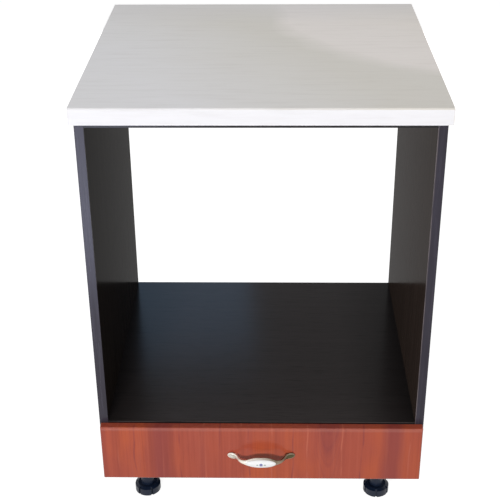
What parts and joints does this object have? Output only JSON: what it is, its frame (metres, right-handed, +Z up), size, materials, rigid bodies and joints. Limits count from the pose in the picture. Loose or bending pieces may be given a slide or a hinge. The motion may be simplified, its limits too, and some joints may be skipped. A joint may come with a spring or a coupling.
{
  "type": "oven housing cabinet",
  "caption": "Floor-standing kitchen base cabinet that houses a built-in oven: worktop, open niche, and a shallow drawer with a bow handle, on adjustable feet.",
  "frame": {"origin": "on the floor, under the middle of the cabinet's overall box", "axes": "+Z up, the front with the drawer faces -Y, +X to the right as seen from the front"},
  "size_m": [0.606, 0.6184, 0.848],
  "materials": {
    "dark_laminate": "dark brown melamine with a fine grain, semi-gloss",
    "dark_edge_band": "dark plastic edge band, satin",
    "chipboard": "raw chipboard",
    "worktop_laminate": "pale grey laminate with faint streaks, satin",
    "worktop_end_band": "pale grey end band, satin",
    "zinc_steel": "zinc-plated steel",
    "dark_cap": "dark brown plastic",
    "runner_steel": "white epoxy-coated steel",
    "nylon": "off-white nylon",
    "black_plastic": "moulded black plastic",
    "cherry_foil": "reddish cherry wood-grain foil, satin",
    "drawer_board": "white melamine",
    "hardboard": "white-faced hardboard",
    "antique_bronze": "antique bronze plating, worn bright on the high spots",
    "porcelain": "white glazed porcelain"
  },
  "bodies": {
    "carcass": {"left_side_panel": "dark_laminate", "right_side_panel": "dark_laminate", "bottom_panel": "dark_laminate", "oven_shelf": "dark_laminate", "front_top_rail": "dark_laminate", "rear_top_rail": "dark_laminate", "left_side_edge_band": "dark_edge_band", "right_side_edge_band": "dark_edge_band", "bottom_edge_band": "dark_edge_band", "shelf_edge_band": "dark_edge_band", "front_rail_edge_band": "dark_edge_band", "worktop_core": "chipboard", "worktop_laminate": "worktop_laminate", "worktop_left_end_band": "worktop_end_band", "worktop_right_end_band": "worktop_end_band", "carcass_screws": "zinc_steel", "screw_caps": "dark_cap", "worktop_screws": "zinc_steel", "left_runner_channel": "runner_steel", "right_runner_channel": "runner_steel", "runner_screws": "zinc_steel", "front_roller_axles": "zinc_steel", "left_front_foot_socket": "black_plastic", "right_front_foot_socket": "black_plastic", "left_rear_foot_socket": "black_plastic", "right_rear_foot_socket": "black_plastic", "foot_screws": "zinc_steel"},
    "drawer": {"drawer_front": "cherry_foil", "drawer_left_side": "drawer_board", "drawer_right_side": "drawer_board", "drawer_box_front": "drawer_board", "drawer_box_back": "drawer_board", "drawer_bottom": "hardboard", "left_drawer_rail": "runner_steel", "right_drawer_rail": "runner_steel", "rail_screws": "zinc_steel", "rear_roller_axles": "zinc_steel", "handle_bow": "antique_bronze", "handle_insert": "porcelain", "handle_screws": "zinc_steel", "front_screws": "zinc_steel", "drawer_box_screws": "zinc_steel", "drawer_bottom_nails": "zinc_steel"},
    "left_front_roller": {"left_front_roller": "nylon"},
    "right_front_roller": {"right_front_roller": "nylon"},
    "left_rear_roller": {"left_rear_roller": "nylon"},
    "right_rear_roller": {"right_rear_roller": "nylon"},
    "left_front_foot": {"left_front_foot": "black_plastic"},
    "right_front_foot": {"right_front_foot": "black_plastic"},
    "left_rear_foot": {"left_rear_foot": "black_plastic"},
    "right_rear_foot": {"right_rear_foot": "black_plastic"}
  },
  "joints": [
    {"name": "drawer_slide", "type": "slide", "parent": "carcass", "child": "drawer", "axis": [0, -1, 0], "range_m": [0, 0.335]},
    {"name": "left_front_roller_turn", "type": "hinge", "parent": "carcass", "child": "left_front_roller", "pos_m": [-0.2775, -0.24375, 0.1462], "axis": [1, 0, 0], "continuous": true},
    {"name": "right_front_roller_turn", "type": "hinge", "parent": "carcass", "child": "right_front_roller", "pos_m": [0.2775, -0.24375, 0.1462], "axis": [1, 0, 0], "continuous": true},
    {"name": "left_rear_roller_turn", "type": "hinge", "parent": "drawer", "child": "left_rear_roller", "pos_m": [-0.2775, 0.16825, 0.1435], "axis": [1, 0, 0], "continuous": true},
    {"name": "right_rear_roller_turn", "type": "hinge", "parent": "drawer", "child": "right_rear_roller", "pos_m": [0.2775, 0.16825, 0.1435], "axis": [1, 0, 0], "continuous": true},
    {"name": "left_front_foot_height", "type": "slide", "parent": "carcass", "child": "left_front_foot", "axis": [0, 0, -1], "range_m": [-0.01, 0.02]},
    {"name": "right_front_foot_height", "type": "slide", "parent": "carcass", "child": "right_front_foot", "axis": [0, 0, -1], "range_m": [-0.01, 0.02]},
    {"name": "left_rear_foot_height", "type": "slide", "parent": "carcass", "child": "left_rear_foot", "axis": [0, 0, -1], "range_m": [-0.01, 0.02]},
    {"name": "right_rear_foot_height", "type": "slide", "parent": "carcass", "child": "right_rear_foot", "axis": [0, 0, -1], "range_m": [-0.01, 0.02]}
  ],
  "couplings": [
    {"joint": "left_front_roller_turn", "follows": "drawer_slide", "rad_per_m": 142.86},
    {"joint": "right_front_roller_turn", "follows": "drawer_slide", "rad_per_m": 142.86},
    {"joint": "left_rear_roller_turn", "follows": "drawer_slide", "rad_per_m": 142.86},
    {"joint": "right_rear_roller_turn", "follows": "drawer_slide", "rad_per_m": 142.86}
  ]
}
